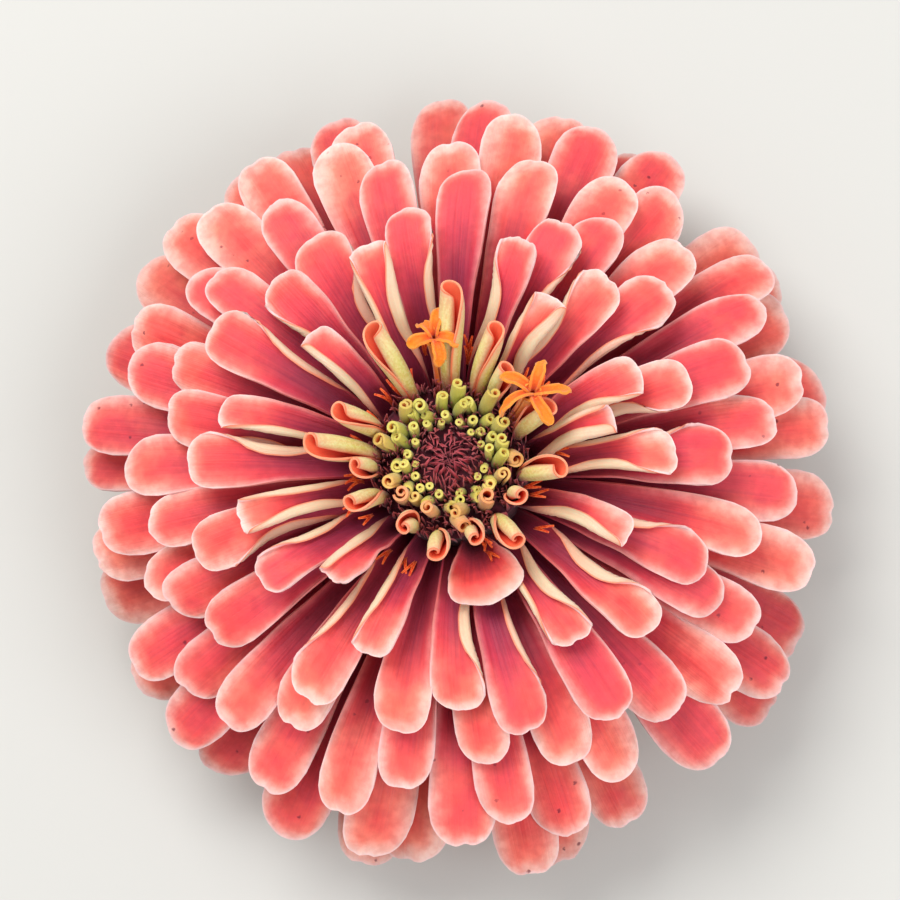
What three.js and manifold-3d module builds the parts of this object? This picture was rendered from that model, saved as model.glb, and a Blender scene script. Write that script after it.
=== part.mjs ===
// Head of a double zinnia, picked just under its green cup and resting face up on the cut end of its stalk.
// Millimetres, +Z up. The origin is the middle of the cut end, where the head rests.
import * as THREE from 'three';
import { mergeVertices } from 'three/addons/utils/BufferGeometryUtils.js';
import Module from 'manifold-3d';

const wasm = await Module();
wasm.setup();

// Every floret of a head follows the one before it at the golden angle, anticlockwise seen from above.
const spiral = { phase: 49.9, step: 137.508, seed: 69512 };

// Open ray florets: from the first (young, high, near the disc) to the last (old, low, outside).
// The tips move out until the floret numbered full, and the rest lie under it at the same reach.
// The head is a little longer along its long axis than across it.
const rays = {
  count: 120,
  full: 91,
  crowding: 0.62,
  tipRadius: [22.5, 52.6],
  tipHeight: [40.4, 12.5],
  rootRadius: [10, 10.2],
  rootHeight: [26.4, 14.6],
  rise: [62, 8],
  droop: [4, -20],
  width: [6.4, 9.6],
  clawWidth: 2,
  thickness: 0.9,
  longAxis: 98,
  oval: 0.022,
};

// How far a floret may stray from the rule, from the first ray floret to the last where there are two values.
const freedom = {
  azimuth: [7, 4],
  reach: [2.2, 1],
  height: 1,
  sideways: 1.2,
  width: 0.08,
  roll: 10,
  budAzimuth: 2,
  budHeight: 0.2,
};

// The first ray florets are narrow still and keep their edges folded up.
const young = { until: 20, narrowing: 0.42, fold: 0.4 };

// One young ray floret has gone limp and hangs over its neighbours, broad and curled down.
const limp = { floret: 20, azimuth: 288, tip: [19.6, 35.6], droop: -66, width: 10.6 };

// Handles of a floret's midrib at its root and tip, as shares of its reach.
const handles = { out: 0.42, back: 0.34 };

// Stations of a ray floret from claw to tip: distance along, swelling from claw to full width, edge lift.
const rayStations = [
  [0, 0, 0.5],
  [0.34, 0.14, 0.7],
  [0.62, 0.66, 0.26],
  [0.83, 1, 0],
  [0.95, 0.84, -0.14],
  [1, 0.42, -0.2],
];

// Young ray florets, still rolled into trumpets, round the disc.
const trumpets = {
  count: 17,
  tipRadius: [11.8, 18],
  tipHeight: [40.5, 43.4],
  lopsided: 0.18,
  rootRadius: 9.7,
  rootHeight: 31.4,
  rise: 80,
  droop: 50,
  neck: 0.8,
  mouth: [1.3, 1.85],
  pit: 2.6,
  sides: 6,
};

// Bud florets: small rolled tubes over the disc.
const buds = {
  count: 56,
  rootRadius: [4.35, 7.75],
  lean: [0.1, 1.3],
  radius: [0.4, 0.92],
  height: [2.2, 6],
  sunk: 1.2,
  sides: 5,
};

// Chaff: the pointed bracts that close over the middle of the disc.
const chaff = { count: 40, reach: 2.6, length: 2.6, radius: 0.42, sunk: 1.3 };

// Receptacle and what it carries, as heights above the cut end.
const core = { bottom: 6.3, top: 29.7, waist: 11.3, shoulder: 9.8 };
const disc = { bottom: 30, top: 34.2, edge: 32, inner: 3.5, outer: 10.7 };
const gap = 0.3;

// Involucre: rows of broad bracts on a shallow cup over the cut stalk.
const cup = { stalk: 4.8, waist: 9.6, rim: 14, floor: 6, height: 12.4, wall: 11.75 };
const bractRows = [
  { count: 8, from: [6.4, 3.2], over: [9.6, 4.4], tip: [11.6, 6.6], width: 5.4 },
  { count: 10, from: [9.2, 4.2], over: [12.6, 6.6], tip: [14.1, 9.6], width: 5.8 },
  { count: 13, from: [12, 6], over: [14.2, 9.4], tip: [14.9, 12.9], width: 5.6 },
];
const bractThickness = 1.1;

// Open disc florets: stars on slender tubes at the edge of the disc, in the place of two of the trumpets.
const stars = {
  places: [
    { floret: 13, azimuth: 34, radius: 13.6, height: 42.4 },
    { floret: 3, azimuth: 96, radius: 15.4, height: 41.4 },
  ],
  lobes: 5,
  lobeLength: 3.3,
  lobeWidth: 1.7,
  lobeThickness: 0.8,
  tube: 0.55,
};

const degree = Math.PI / 180;

// A seeded draw between 0 and 1 for one feature of one floret.
function draw(floret, feature) {
  let h = (spiral.seed + Math.imul(floret, 374761393) + Math.imul(feature, 668265263)) >>> 0;
  h ^= h >>> 13;
  h = Math.imul(h, 1274126177) >>> 0;
  h ^= h >>> 16;
  return (h >>> 0) / 4294967296;
}

function wobble(floret, feature, amount) {
  return (draw(floret, feature) - 0.5) * 2 * amount;
}

function mix(range, t) {
  return range[0] + (range[1] - range[0]) * t;
}

// A point from its azimuth in degrees, radius and height, moved sideways by a distance.
function place(azimuth, radius, height, sideways = 0) {
  const a = azimuth * degree;
  const x = radius * Math.cos(a) - sideways * Math.sin(a);
  const y = radius * Math.sin(a) + sideways * Math.cos(a);
  return new THREE.Vector3(x, y, height);
}

// A closed body through rings with equal numbers of points; a last ring of one point closes to it.
function loft(rings) {
  const points = [];
  const faces = [];
  const starts = rings.map((ring) => {
    const start = points.length;
    points.push(...ring);
    return start;
  });
  for (let k = 0; k + 1 < rings.length; k++) {
    const n = rings[k].length;
    for (let j = 0; j < n; j++) {
      const a = starts[k] + j;
      const b = starts[k] + ((j + 1) % n);
      if (rings[k + 1].length === 1) {
        faces.push(a, b, starts[k + 1]);
        continue;
      }
      const c = starts[k + 1] + ((j + 1) % n);
      const d = starts[k + 1] + j;
      // Odd and even sides split the other way, so a blade's two faces are split alike.
      if (j % 2) faces.push(a, b, d, b, c, d);
      else faces.push(a, b, c, a, c, d);
    }
  }
  capRing(faces, starts[0], rings[0].length, true);
  const last = rings.length - 1;
  if (rings[last].length > 1) capRing(faces, starts[last], rings[last].length, false);
  const geometry = new THREE.BufferGeometry();
  geometry.setAttribute('position', new THREE.Float32BufferAttribute(points.flatMap((p) => p.toArray()), 3));
  geometry.setIndex(faces);
  return geometry;
}

// Closes an end ring with a fan from its second point, which suits a bent four-point blade section too.
function capRing(faces, start, n, reversed) {
  for (let j = 2; j < n; j++) {
    const b = start + j;
    const c = start + ((j + 1) % n);
    if (reversed) faces.push(start + 1, c, b);
    else faces.push(start + 1, b, c);
  }
}

// Directions across a curve at one of its points: sideways round the head, and up from the blade's face.
function frameAt(curve, along, azimuth, roll = 0) {
  const tangent = curve.getTangentAt(along);
  const side = place(azimuth + 90, 1, 0);
  side.addScaledVector(tangent, -side.dot(tangent)).normalize();
  side.applyAxisAngle(tangent, roll * degree);
  const face = new THREE.Vector3().crossVectors(tangent, side);
  return { centre: curve.getPointAt(along), side, face };
}

// A blade with a thick midrib: left edge, face, right edge and back at each station of its curve.
function blade(curve, azimuth, stations, thickness, roll = 0) {
  const rings = stations.map(({ along, half, liftLeft, liftRight }) => {
    const { centre, side, face } = frameAt(curve, along, azimuth, roll);
    const at = (across, up) => centre.clone().addScaledVector(side, across).addScaledVector(face, up);
    const depth = (thickness * (1 - 0.25 * along)) / 2;
    return [at(half, liftLeft), at(0, depth), at(-half, liftRight), at(0, -depth)];
  });
  return loft(rings);
}

// A round stalk along a curve, with radii at equal steps and, with a pit, a hollow mouth.
function horn(curve, azimuth, sides, radii, pit = 0) {
  const circle = (along, radius, back = 0) => {
    const { centre, side, face } = frameAt(curve, along, azimuth);
    const deep = centre.addScaledVector(curve.getTangentAt(along), -back);
    return Array.from({ length: sides }, (_, j) => {
      const a = (j / sides) * 2 * Math.PI;
      const across = radius * Math.cos(a);
      return deep.clone().addScaledVector(side, across).addScaledVector(face, radius * Math.sin(a));
    });
  };
  const rings = radii.map((radius, k) => circle(k / (radii.length - 1), radius));
  if (pit) {
    rings.push(circle(1, radii.at(-1) * 0.62, pit * 0.12));
    rings.push([curve.getPointAt(1).addScaledVector(curve.getTangentAt(1), -pit)]);
  }
  return loft(rings);
}

// A body of revolution about the head's axis from (radius, height) pairs.
function turned(profile, segments) {
  const geometry = new THREE.LatheGeometry(profile.map(([r, z]) => new THREE.Vector2(r, z)), segments);
  return geometry.rotateX(Math.PI / 2);
}

function solidOf(geometry) {
  const bare = geometry.clone();
  bare.deleteAttribute('normal');
  bare.deleteAttribute('uv');
  const merged = mergeVertices(bare, 1e-4);
  const solid = new wasm.Manifold(
    new wasm.Mesh({
      numProp: 3,
      vertProperties: new Float32Array(merged.attributes.position.array),
      triVerts: new Uint32Array(merged.index.array),
    }),
  );
  return solid;
}

// Joins overlapping closed geometries into one body.
function fused(geometries) {
  let whole = solidOf(geometries[0]);
  for (const geometry of geometries.slice(1)) whole = whole.add(solidOf(geometry));
  const { numProp, vertProperties, triVerts } = whole.getMesh();
  const positions = new Float32Array((vertProperties.length / numProp) * 3);
  for (let v = 0; v < positions.length / 3; v++) {
    positions.set(vertProperties.subarray(v * numProp, v * numProp + 3), v * 3);
  }
  const geometry = new THREE.BufferGeometry();
  geometry.setAttribute('position', new THREE.BufferAttribute(positions, 3));
  geometry.setIndex(new THREE.BufferAttribute(triVerts, 1));
  geometry.computeVertexNormals();
  return geometry;
}

// The midrib of a floret: out of its root at one slope, into its tip at another.
function midrib(azimuth, root, tip, rise, droop, sideways) {
  const reach = Math.hypot(tip[0] - root[0], tip[1] - root[1]);
  const out = reach * handles.out;
  const back = reach * handles.back;
  const r = rise * degree;
  const d = droop * degree;
  return new THREE.CubicBezierCurve3(
    place(azimuth, root[0], root[1]),
    place(azimuth, root[0] + out * Math.cos(r), root[1] + out * Math.sin(r), sideways * 0.1),
    place(azimuth, tip[0] - back * Math.cos(d), tip[1] - back * Math.sin(d), sideways * 0.6),
    place(azimuth, tip[0], tip[1], sideways),
  );
}

// Azimuth of a floret in the spiral, with a little play.
function azimuthOf(floret, play) {
  return spiral.phase + spiral.step * floret + wobble(floret, 1, play);
}

// How much further out, or less, the tips lie at an azimuth because the head is oval.
function ovalAt(azimuth) {
  return 1 + rays.oval * Math.cos(2 * (azimuth - rays.longAxis) * degree);
}

function openRay(k) {
  const floret = trumpets.count + k;
  const t = k / (rays.count - 1);
  const isLimp = floret === limp.floret;
  const azimuth = isLimp ? limp.azimuth : azimuthOf(floret, mix(freedom.azimuth, t));
  const reach = Math.min(1, k / rays.full) ** rays.crowding;
  const tipRadius = (mix(rays.tipRadius, reach) + wobble(floret, 2, mix(freedom.reach, t))) * ovalAt(azimuth);
  const tipHeight = mix(rays.tipHeight, t) + wobble(floret, 3, freedom.height);
  const tip = isLimp ? limp.tip : [tipRadius, tipHeight];
  const root = [mix(rays.rootRadius, t), mix(rays.rootHeight, t)];
  const droop = isLimp ? limp.droop : Math.max(rays.droop[1], mix(rays.droop, t * 4));
  const curve = midrib(azimuth, root, tip, mix(rays.rise, t), droop, wobble(floret, 4, freedom.sideways));
  const youth = isLimp ? 0 : Math.max(0, 1 - k / young.until);
  const folds = [5, 6].map((feature) => youth * (young.fold + draw(floret, feature)));
  const spread = mix(rays.width, t) * (1 + wobble(floret, 7, freedom.width)) * (1 - young.narrowing * youth);
  const wide = (isLimp ? limp.width : spread) / 2;
  const stations = rayStations.map(([along, swelling, lift]) => {
    const half = rays.clawWidth / 2 + (wide - rays.clawWidth / 2) * swelling;
    return {
      along,
      half,
      liftLeft: half * (lift + folds[0] * swelling),
      liftRight: half * (lift + folds[1] * swelling),
    };
  });
  return blade(curve, azimuth, stations, rays.thickness, wobble(floret, 8, freedom.roll));
}

function trumpet(floret) {
  const t = floret / (trumpets.count - 1);
  const azimuth = azimuthOf(floret, freedom.azimuth[0]);
  const upper = 1 + trumpets.lopsided * Math.sin(azimuth * degree);
  const tip = [mix(trumpets.tipRadius, t) * upper, mix(trumpets.tipHeight, t)];
  const root = [trumpets.rootRadius, trumpets.rootHeight];
  const curve = midrib(azimuth, root, tip, trumpets.rise, trumpets.droop, 0);
  const mouth = mix(trumpets.mouth, t);
  return horn(curve, azimuth, trumpets.sides, [trumpets.neck, mouth * 0.8, mouth], trumpets.pit);
}

function bud(j) {
  const t = (j / (buds.count - 1)) ** 1.1;
  const floret = 1000 + j;
  const azimuth = spiral.phase + spiral.step * j + wobble(floret, 1, freedom.budAzimuth);
  const radius = mix(buds.rootRadius, t);
  const height = mix(buds.height, t) * (1 + wobble(floret, 2, freedom.budHeight));
  const foot = mix([disc.top, disc.edge], t * 0.6) - buds.sunk;
  const curve = new THREE.LineCurve3(
    place(azimuth, radius, foot),
    place(azimuth, radius + mix(buds.lean, t), foot + buds.sunk + height),
  );
  const girth = mix(buds.radius, t);
  return horn(curve, azimuth, buds.sides, [girth * 0.85, girth], girth * 2);
}

function chaffBract(j) {
  const t = Math.sqrt((j + 0.5) / chaff.count);
  const azimuth = spiral.step * j;
  const root = place(azimuth, chaff.reach * t + 0.1, disc.top - chaff.sunk);
  const tip = place(azimuth, chaff.reach * 1.04 * t - 0.3, disc.top - 0.4 + chaff.length * (0.45 + 0.4 * t));
  return horn(new THREE.LineCurve3(root, tip), azimuth, 3, [chaff.radius, chaff.radius * 0.3]);
}

function star({ azimuth, radius, height }) {
  const root = place(azimuth, trumpets.rootRadius, trumpets.rootHeight);
  const throat = place(azimuth, radius, height);
  const stalk = new THREE.QuadraticBezierCurve3(root, place(azimuth, radius - 1, height - 4), throat);
  const parts = [horn(stalk, azimuth, 6, [stars.tube, stars.tube, stars.tube * 1.9])];
  for (let n = 0; n < stars.lobes; n++) {
    const turn = (n / stars.lobes) * 360 + azimuth + 36;
    const reach = (share, up) => throat.clone().add(place(turn, stars.lobeLength * share, up));
    const curve = new THREE.QuadraticBezierCurve3(reach(0.05, -0.35), reach(0.6, 0.9), reach(1.15, -0.5));
    const stations = [
      { along: 0, half: 0.5, liftLeft: 0.1, liftRight: 0.1 },
      { along: 0.45, half: stars.lobeWidth / 2, liftLeft: 0.1, liftRight: 0.1 },
      { along: 0.8, half: stars.lobeWidth / 2, liftLeft: 0, liftRight: 0 },
      { along: 1, half: 0.25, liftLeft: 0, liftRight: 0 },
    ];
    parts.push(blade(curve, turn, stations, stars.lobeThickness));
  }
  return parts;
}

function bract(row, n) {
  const azimuth = ((n + row.count * 0.37) / row.count) * 360;
  const curve = new THREE.QuadraticBezierCurve3(
    place(azimuth, ...row.from),
    place(azimuth, ...row.over),
    place(azimuth, ...row.tip),
  );
  const half = row.width / 2;
  const stations = [
    { along: 0, half: half * 0.8, liftLeft: 0.5, liftRight: 0.5 },
    { along: 0.5, half, liftLeft: 0.8, liftRight: 0.8 },
    { along: 0.85, half: half * 0.85, liftLeft: 0.6, liftRight: 0.6 },
    { along: 1, half: half * 0.4, liftLeft: 0.2, liftRight: 0.2 },
  ];
  return blade(curve, azimuth, stations, bractThickness);
}

function involucre() {
  const shell = turned(
    [
      [0, 0],
      [cup.stalk, 0],
      [cup.stalk + 0.4, 2.4],
      [cup.waist, 4],
      [cup.rim - 1.4, 6.4],
      [cup.rim - 0.2, 9.4],
      [cup.rim, cup.height],
      [cup.wall, cup.height],
      [cup.wall, cup.floor + 1.2],
      [cup.wall - 1.6, cup.floor],
      [0, cup.floor],
    ],
    26,
  );
  const bracts = bractRows.flatMap((row) => Array.from({ length: row.count }, (_, n) => bract(row, n)));
  return fused([shell, ...bracts]);
}

function rayFlorets() {
  const receptacle = turned(
    [
      [0, core.bottom],
      [core.shoulder, core.bottom],
      [core.waist, core.bottom + 1.6],
      [core.waist, core.bottom + 8],
      [core.shoulder + 0.6, core.top - 3],
      [core.shoulder, core.top],
      [0, core.top],
    ],
    26,
  );
  return fused([receptacle, ...Array.from({ length: rays.count }, (_, k) => openRay(k))]);
}

function innerFlorets() {
  const ring = turned(
    [
      [disc.inner, disc.bottom],
      [disc.outer, disc.bottom],
      [disc.outer, disc.edge],
      [disc.outer - 0.6, disc.edge + 0.5],
      [disc.inner, disc.top],
      [disc.inner, disc.bottom],
    ],
    24,
  );
  const opened = stars.places.map((at) => at.floret);
  const rolled = Array.from({ length: trumpets.count }, (_, n) => n).filter((n) => !opened.includes(n));
  return fused([
    ring,
    ...rolled.map(trumpet),
    ...stars.places.flatMap(star),
    ...Array.from({ length: buds.count }, (_, j) => bud(j)),
  ]);
}

function discChaff() {
  const inside = disc.inner - gap;
  const button = turned(
    [
      [0, disc.bottom],
      [inside, disc.bottom],
      [inside, disc.top - 0.3],
      [inside * 0.5, disc.top],
      [0, disc.top - 0.4],
    ],
    18,
  );
  return fused([button, ...Array.from({ length: chaff.count }, (_, j) => chaffBract(j))]);
}

function piece(name, geometry, colour, roughness) {
  const material = new THREE.MeshStandardMaterial({ color: colour, roughness, metalness: 0 });
  const mesh = new THREE.Mesh(geometry, material);
  mesh.name = name;
  return mesh;
}

const zinnia = new THREE.Group();
zinnia.add(piece('involucre', involucre(), '#6f8a3c', 0.75));
zinnia.add(piece('ray_florets', rayFlorets(), '#ee625c', 0.6));
zinnia.add(piece('inner_florets', innerFlorets(), '#c9c765', 0.6));
zinnia.add(piece('chaff', discChaff(), '#6d1e35', 0.7));

export default zinnia;
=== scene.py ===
import math

import bmesh
import bpy
import numpy as np
from mathutils import Matrix, Vector


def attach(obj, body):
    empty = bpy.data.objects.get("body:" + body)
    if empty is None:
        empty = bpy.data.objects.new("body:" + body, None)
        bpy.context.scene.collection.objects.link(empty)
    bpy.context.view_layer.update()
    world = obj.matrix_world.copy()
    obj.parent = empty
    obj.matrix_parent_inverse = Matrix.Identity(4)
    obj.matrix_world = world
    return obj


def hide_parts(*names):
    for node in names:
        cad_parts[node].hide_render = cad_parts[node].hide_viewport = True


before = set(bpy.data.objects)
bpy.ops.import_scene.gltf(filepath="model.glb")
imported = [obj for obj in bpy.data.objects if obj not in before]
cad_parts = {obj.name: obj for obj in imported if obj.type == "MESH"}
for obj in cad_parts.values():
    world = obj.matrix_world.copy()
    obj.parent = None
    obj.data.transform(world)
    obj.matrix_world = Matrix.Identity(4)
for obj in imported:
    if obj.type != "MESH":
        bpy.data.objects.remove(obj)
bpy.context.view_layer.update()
print("zinnia: frame loaded")

mm = 0.001

# Every floret follows the one before it at the golden angle, anticlockwise from above.
spiral = {"phase": 49.9, "step": 137.508, "seed": 69512}


def draw(floret, feature):
    # a seeded draw between 0 and 1 for one feature of one floret
    h = (spiral["seed"] + floret * 374761393 + feature * 668265263) & 0xFFFFFFFF
    h ^= h >> 13
    h = (h * 1274126177) & 0xFFFFFFFF
    h ^= h >> 16
    return h / 4294967296


def wobble(floret, feature, amount):
    return (draw(floret, feature) - 0.5) * 2 * amount


def mix(span, t):
    return span[0] + (span[1] - span[0]) * t


def azimuthOf(floret, freedom):
    return spiral["phase"] + spiral["step"] * floret + wobble(floret, 1, freedom)


def place(azimuth, radius, height, sideways=0.0):
    # a point in metres from an azimuth in degrees and lengths in millimetres
    a = math.radians(azimuth)
    x = radius * math.cos(a) - sideways * math.sin(a)
    y = radius * math.sin(a) + sideways * math.cos(a)
    return np.array([x, y, height]) * mm


def eased(share):
    # a soft start and a soft end between 0 and 1
    return share**2 * (3 - 2 * share)


def through(points, at):
    # a smooth line through (place, value) pairs
    xs = np.array([p[0] for p in points], float)
    ys = np.array([p[1] for p in points], float)
    slopes = np.gradient(ys, xs)
    at = np.clip(at, xs[0], xs[-1])
    i = np.clip(np.searchsorted(xs, at, side="right") - 1, 0, len(xs) - 2)
    w = xs[i + 1] - xs[i]
    t = (at - xs[i]) / w
    return (
        (2 * t**3 - 3 * t**2 + 1) * ys[i]
        + (t**3 - 2 * t**2 + t) * w * slopes[i]
        + (3 * t**2 - 2 * t**3) * ys[i + 1]
        + (t**3 - t**2) * w * slopes[i + 1]
    )


def flat(y):
    return 0 * y


def evenly(value):
    return lambda y: value + 0 * y


def along(points, factor=1.0):
    return lambda y: factor * through(points, y)


def alike(turn):
    # one turn for both sides of the midrib
    return {"turn": turn}, {"turn": turn}


# helpers for edit mode

def deselectAll():
    if bpy.context.object and bpy.context.object.mode != "OBJECT":
        bpy.ops.object.mode_set(mode="OBJECT")
    bpy.ops.object.select_all(action="DESELECT")


def selectVertices(piece, wanted):
    bm = bmesh.from_edit_mesh(piece.data)
    for f in bm.faces:
        f.select_set(False)
    for v in bm.verts:
        v.select_set(wanted(v.co))
    bm.select_flush_mode()
    bmesh.update_edit_mesh(piece.data)


def coordinates(mesh):
    co = np.zeros(len(mesh.vertices) * 3, np.float32)
    mesh.vertices.foreach_get("co", co)
    return co.reshape(-1, 3).astype(float)


def added(name, data):
    piece = bpy.data.objects.new(name, data)
    bpy.context.scene.collection.objects.link(piece)
    return piece


def setAttribute(mesh, name, values):
    attribute = mesh.attributes.new(name, "FLOAT", "POINT")
    attribute.data.foreach_set("value", np.asarray(values, np.float32))


# the flat blank that every petal, tube and bract is bent from

def tipLine(x, rounding, notch, power):
    # how far each column of a blank reaches: a rounded end with a notch in its middle
    drop = 1 - np.sqrt(np.clip(1 - np.abs(x) ** power, 0, 1))
    return 1 - rounding * drop - notch * np.exp(-((x / 0.16) ** 2))


def floretBlank(name, columns, rows, rounding, notch=0.0, pleats=0.0, power=2.6):
    # x runs -1 to 1 across, y 0 to 1 from root to tip, z is relief in millimetres
    deselectAll()
    bpy.ops.mesh.primitive_grid_add(x_subdivisions=columns, y_subdivisions=rows, size=2, location=(0, 0, 0))
    blank = bpy.context.object
    bpy.ops.object.mode_set(mode="EDIT")
    bpy.ops.mesh.select_mode(type="VERT")
    bpy.ops.mesh.select_all(action="SELECT")
    bpy.ops.transform.translate(value=(0, 1, 0))
    bpy.ops.transform.resize(value=(1, 0.5, 1), center_override=(0, 0, 0))
    for column in range(columns + 1):
        x = -1 + 2 * column / columns
        length = float(tipLine(np.array([x]), rounding, notch, power)[0])
        selectVertices(blank, lambda co, x=x: abs(co.x - x) < 0.01)
        bpy.ops.transform.resize(value=(1, length, 1), center_override=(0, 0, 0))
        if pleats:
            lift = pleats * math.cos(x * 9.5) * (1 - abs(x)) - pleats * 0.8 * math.exp(-((x / 0.12) ** 2))
            bpy.ops.transform.translate(value=(0, 0, lift))
    bpy.ops.object.mode_set(mode="OBJECT")
    mesh = blank.data
    mesh.name = name
    bpy.data.objects.remove(blank)
    co = coordinates(mesh)
    return {"mesh": mesh, "co": co, "ends": tipLine(co[:, 0], rounding, notch, power), "rounding": rounding}


def midrib(azimuth, root, tip, rise, droop, sideways=0.0):
    # out of the root at one slope, into the tip at another, as 121 points with their directions
    reach = math.hypot(tip[0] - root[0], tip[1] - root[1])
    out, back = reach * 0.42, reach * 0.34
    r, d = math.radians(rise), math.radians(droop)
    corners = [
        place(azimuth, root[0], root[1]),
        place(azimuth, root[0] + out * math.cos(r), root[1] + out * math.sin(r), sideways * 0.1),
        place(azimuth, tip[0] - back * math.cos(d), tip[1] - back * math.sin(d), sideways * 0.6),
        place(azimuth, tip[0], tip[1], sideways),
    ]
    t = np.linspace(0, 1, 121)[:, None]
    points = (
        (1 - t) ** 3 * corners[0]
        + 3 * (1 - t) ** 2 * t * corners[1]
        + 3 * (1 - t) * t**2 * corners[2]
        + t**3 * corners[3]
    )
    return measured(points)


def curveThrough(a, b, c):
    # a plain bow with three handles
    t = np.linspace(0, 1, 121)[:, None]
    return measured((1 - t) ** 2 * a + 2 * (1 - t) * t * b + t**2 * c)


def measured(points):
    steps = np.linalg.norm(np.diff(points, axis=0), axis=1)
    travelled = np.concatenate([[0], np.cumsum(steps)])
    tangents = np.gradient(points, axis=0)
    tangents /= np.linalg.norm(tangents, axis=1)[:, None]
    return {"points": points, "tangents": tangents, "at": travelled / travelled[-1], "length": travelled[-1]}


def frameAlong(rib, azimuth, y, roll):
    # centre, sideways direction and face direction at each y
    centre, tangent = (
        np.stack([np.interp(y, rib["at"], rib[key][:, k]) for k in range(3)], 1)
        for key in ("points", "tangents")
    )
    tangent /= np.linalg.norm(tangent, axis=1)[:, None]
    centre = centre + tangent * np.clip(y - 1, 0, None)[:, None] * rib["length"]
    a = math.radians(azimuth + 90)
    side = np.tile([math.cos(a), math.sin(a), 0.0], (len(y), 1))
    side -= (side * tangent).sum(1)[:, None] * tangent
    side /= np.linalg.norm(side, axis=1)[:, None]
    face = np.cross(tangent, side)
    c, s = np.cos(np.radians(roll))[:, None], np.sin(np.radians(roll))[:, None]
    return centre, side * c + face * s, face * c - side * s


def bentCopy(
    blank, name, rib, azimuth, half, left, right, roll=0.0, twist=0.0, sink=flat, crowd=0.0, tipDrop=None,
    ragged=0.0, tilt=0.0, lopsided=0.0, wave=0.0, waves=9.0, phase=0.0, age=0.5, tone=0.5,
):
    # half is the half width in mm at each y. Each side gives its turn in degrees from midrib to margin,
    # how much of that turn comes late, and a further fold of the margin outside its crease.
    x, relief = blank["co"][:, 0], blank["co"][:, 2]
    millimetre = mm / rib["length"]
    ends = 1 - (1 - blank["ends"]) * (tipDrop / blank["rounding"] if tipDrop else 1.0)
    teeth = np.sin(x * 8 + phase) + 0.5 * np.sin(x * 17 + 2 * phase) + 0.3 * np.sin(x * 31)
    ends = ends + ragged * millimetre * (1 - x**4) * teeth + tilt * millimetre * np.sin(x * math.pi / 2)
    y = blank["co"][:, 1] / blank["ends"] * ends
    x = (1 - crowd) * x + crowd * np.sin(x * math.pi / 2)
    h = half(y) * (1 + lopsided * np.sin(x * math.pi / 2))

    def bySide(key, default):
        return np.where(x < 0, left.get(key, default)(y), right.get(key, default)(y))

    turn, fold, crease = bySide("turn", flat), bySide("fold", flat), bySide("crease", evenly(0.5))
    late = np.where(x < 0, left.get("late", 0.0), right.get("late", 0.0))

    def turned(q, turn, late, fold, crease):
        past = np.clip((q - crease) / np.clip(0.9 * (1 - crease), 0.14, 0.3), 0, 1)
        return np.radians(turn * ((1 - late) * q + late * q**2) + fold * eased(past))

    # the cross-section is walked from the midrib outwards in small steps
    steps = 32
    far = np.abs(x)
    q = far[:, None] * ((np.arange(steps) + 0.5) / steps)[None, :]
    angle = turned(q, turn[:, None], late[:, None], fold[:, None], crease[:, None])
    across = h * far * np.cos(angle).mean(1)
    up = h * far * np.sin(angle).mean(1)
    end = turned(far, turn, late, fold, crease)
    ripple = wave * far**2 * np.sin(phase + y * waves * 2 + np.sign(x) * 1.3) * np.clip((y - 0.35) / 0.3, 0, 1)
    # a folded margin lies smooth on the face below it
    held = np.clip((np.abs(end) - 0.8) / 0.8, 0, 1)
    lift = (relief * np.clip((y - 0.1) / 0.3, 0, 1) + ripple) * (1 - 0.9 * held)
    across = across - lift * np.sin(end)
    up = up + lift * np.cos(end) - sink(y)
    centre, side, face = frameAlong(rib, azimuth, y, roll + twist * y)
    points = centre - side * (np.sign(x) * across * mm)[:, None] + face * (up * mm)[:, None]
    mesh = blank["mesh"].copy()
    mesh.vertices.foreach_set("co", points.astype(np.float32).ravel())
    margin = np.minimum((1 - far) * h, (ends - y) / millimetre)
    setAttribute(mesh, "rim", np.clip(margin, 0, 10))
    setAttribute(mesh, "age", np.full(len(x), age))
    setAttribute(mesh, "tone", np.full(len(x), tone))
    return added(name, mesh)


def joined(pieces, name, thickness, materials, rimOnBack=False):
    # one piece with a real thickness, its back in the second material
    deselectAll()
    for piece in pieces:
        for material in materials:
            piece.data.materials.append(material)
        piece.select_set(True)
    bpy.context.view_layer.objects.active = pieces[0]
    bpy.ops.object.join()
    piece = bpy.context.object
    piece.name = name
    piece.data.name = name
    thick = piece.modifiers.new("thickness", "SOLIDIFY")
    thick.thickness = thickness * mm
    thick.offset = -1
    thick.use_even_offset = False
    thick.material_offset = len(materials) - 1
    thick.material_offset_rim = int(rimOnBack)
    bpy.ops.object.modifier_apply(modifier=thick.name)
    bpy.ops.object.shade_smooth_by_angle(angle=math.radians(74))
    return piece


def settle(piece, slotName, *nodes):
    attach(piece, "root")
    if nodes:
        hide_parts(*nodes)


# colours and shader nodes

def tint(code):
    # a web colour as the linear values that shaders use
    channels = [int(code[k:k + 2], 16) / 255 for k in (0, 2, 4)]
    linear = [c / 12.92 if c <= 0.04045 else ((c + 0.055) / 1.055) ** 2.4 for c in channels]
    return (*linear, 1.0)


def mathNode(tree, operation, a, b=None, clamp=False):
    node = tree.nodes.new("ShaderNodeMath")
    node.operation = operation
    node.use_clamp = clamp
    for socket, value in zip(node.inputs, (a, b)):
        if value is None:
            continue
        if isinstance(value, (int, float)):
            socket.default_value = value
        else:
            tree.links.new(value, socket)
    return node.outputs[0]


def mapRange(tree, value, low, high, toLow=0.0, toHigh=1.0):
    node = tree.nodes.new("ShaderNodeMapRange")
    node.interpolation_type = "SMOOTHSTEP"
    tree.links.new(value, node.inputs["Value"])
    for label, number in (("From Min", low), ("From Max", high), ("To Min", toLow), ("To Max", toHigh)):
        node.inputs[label].default_value = number
    return node.outputs["Result"]


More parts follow.
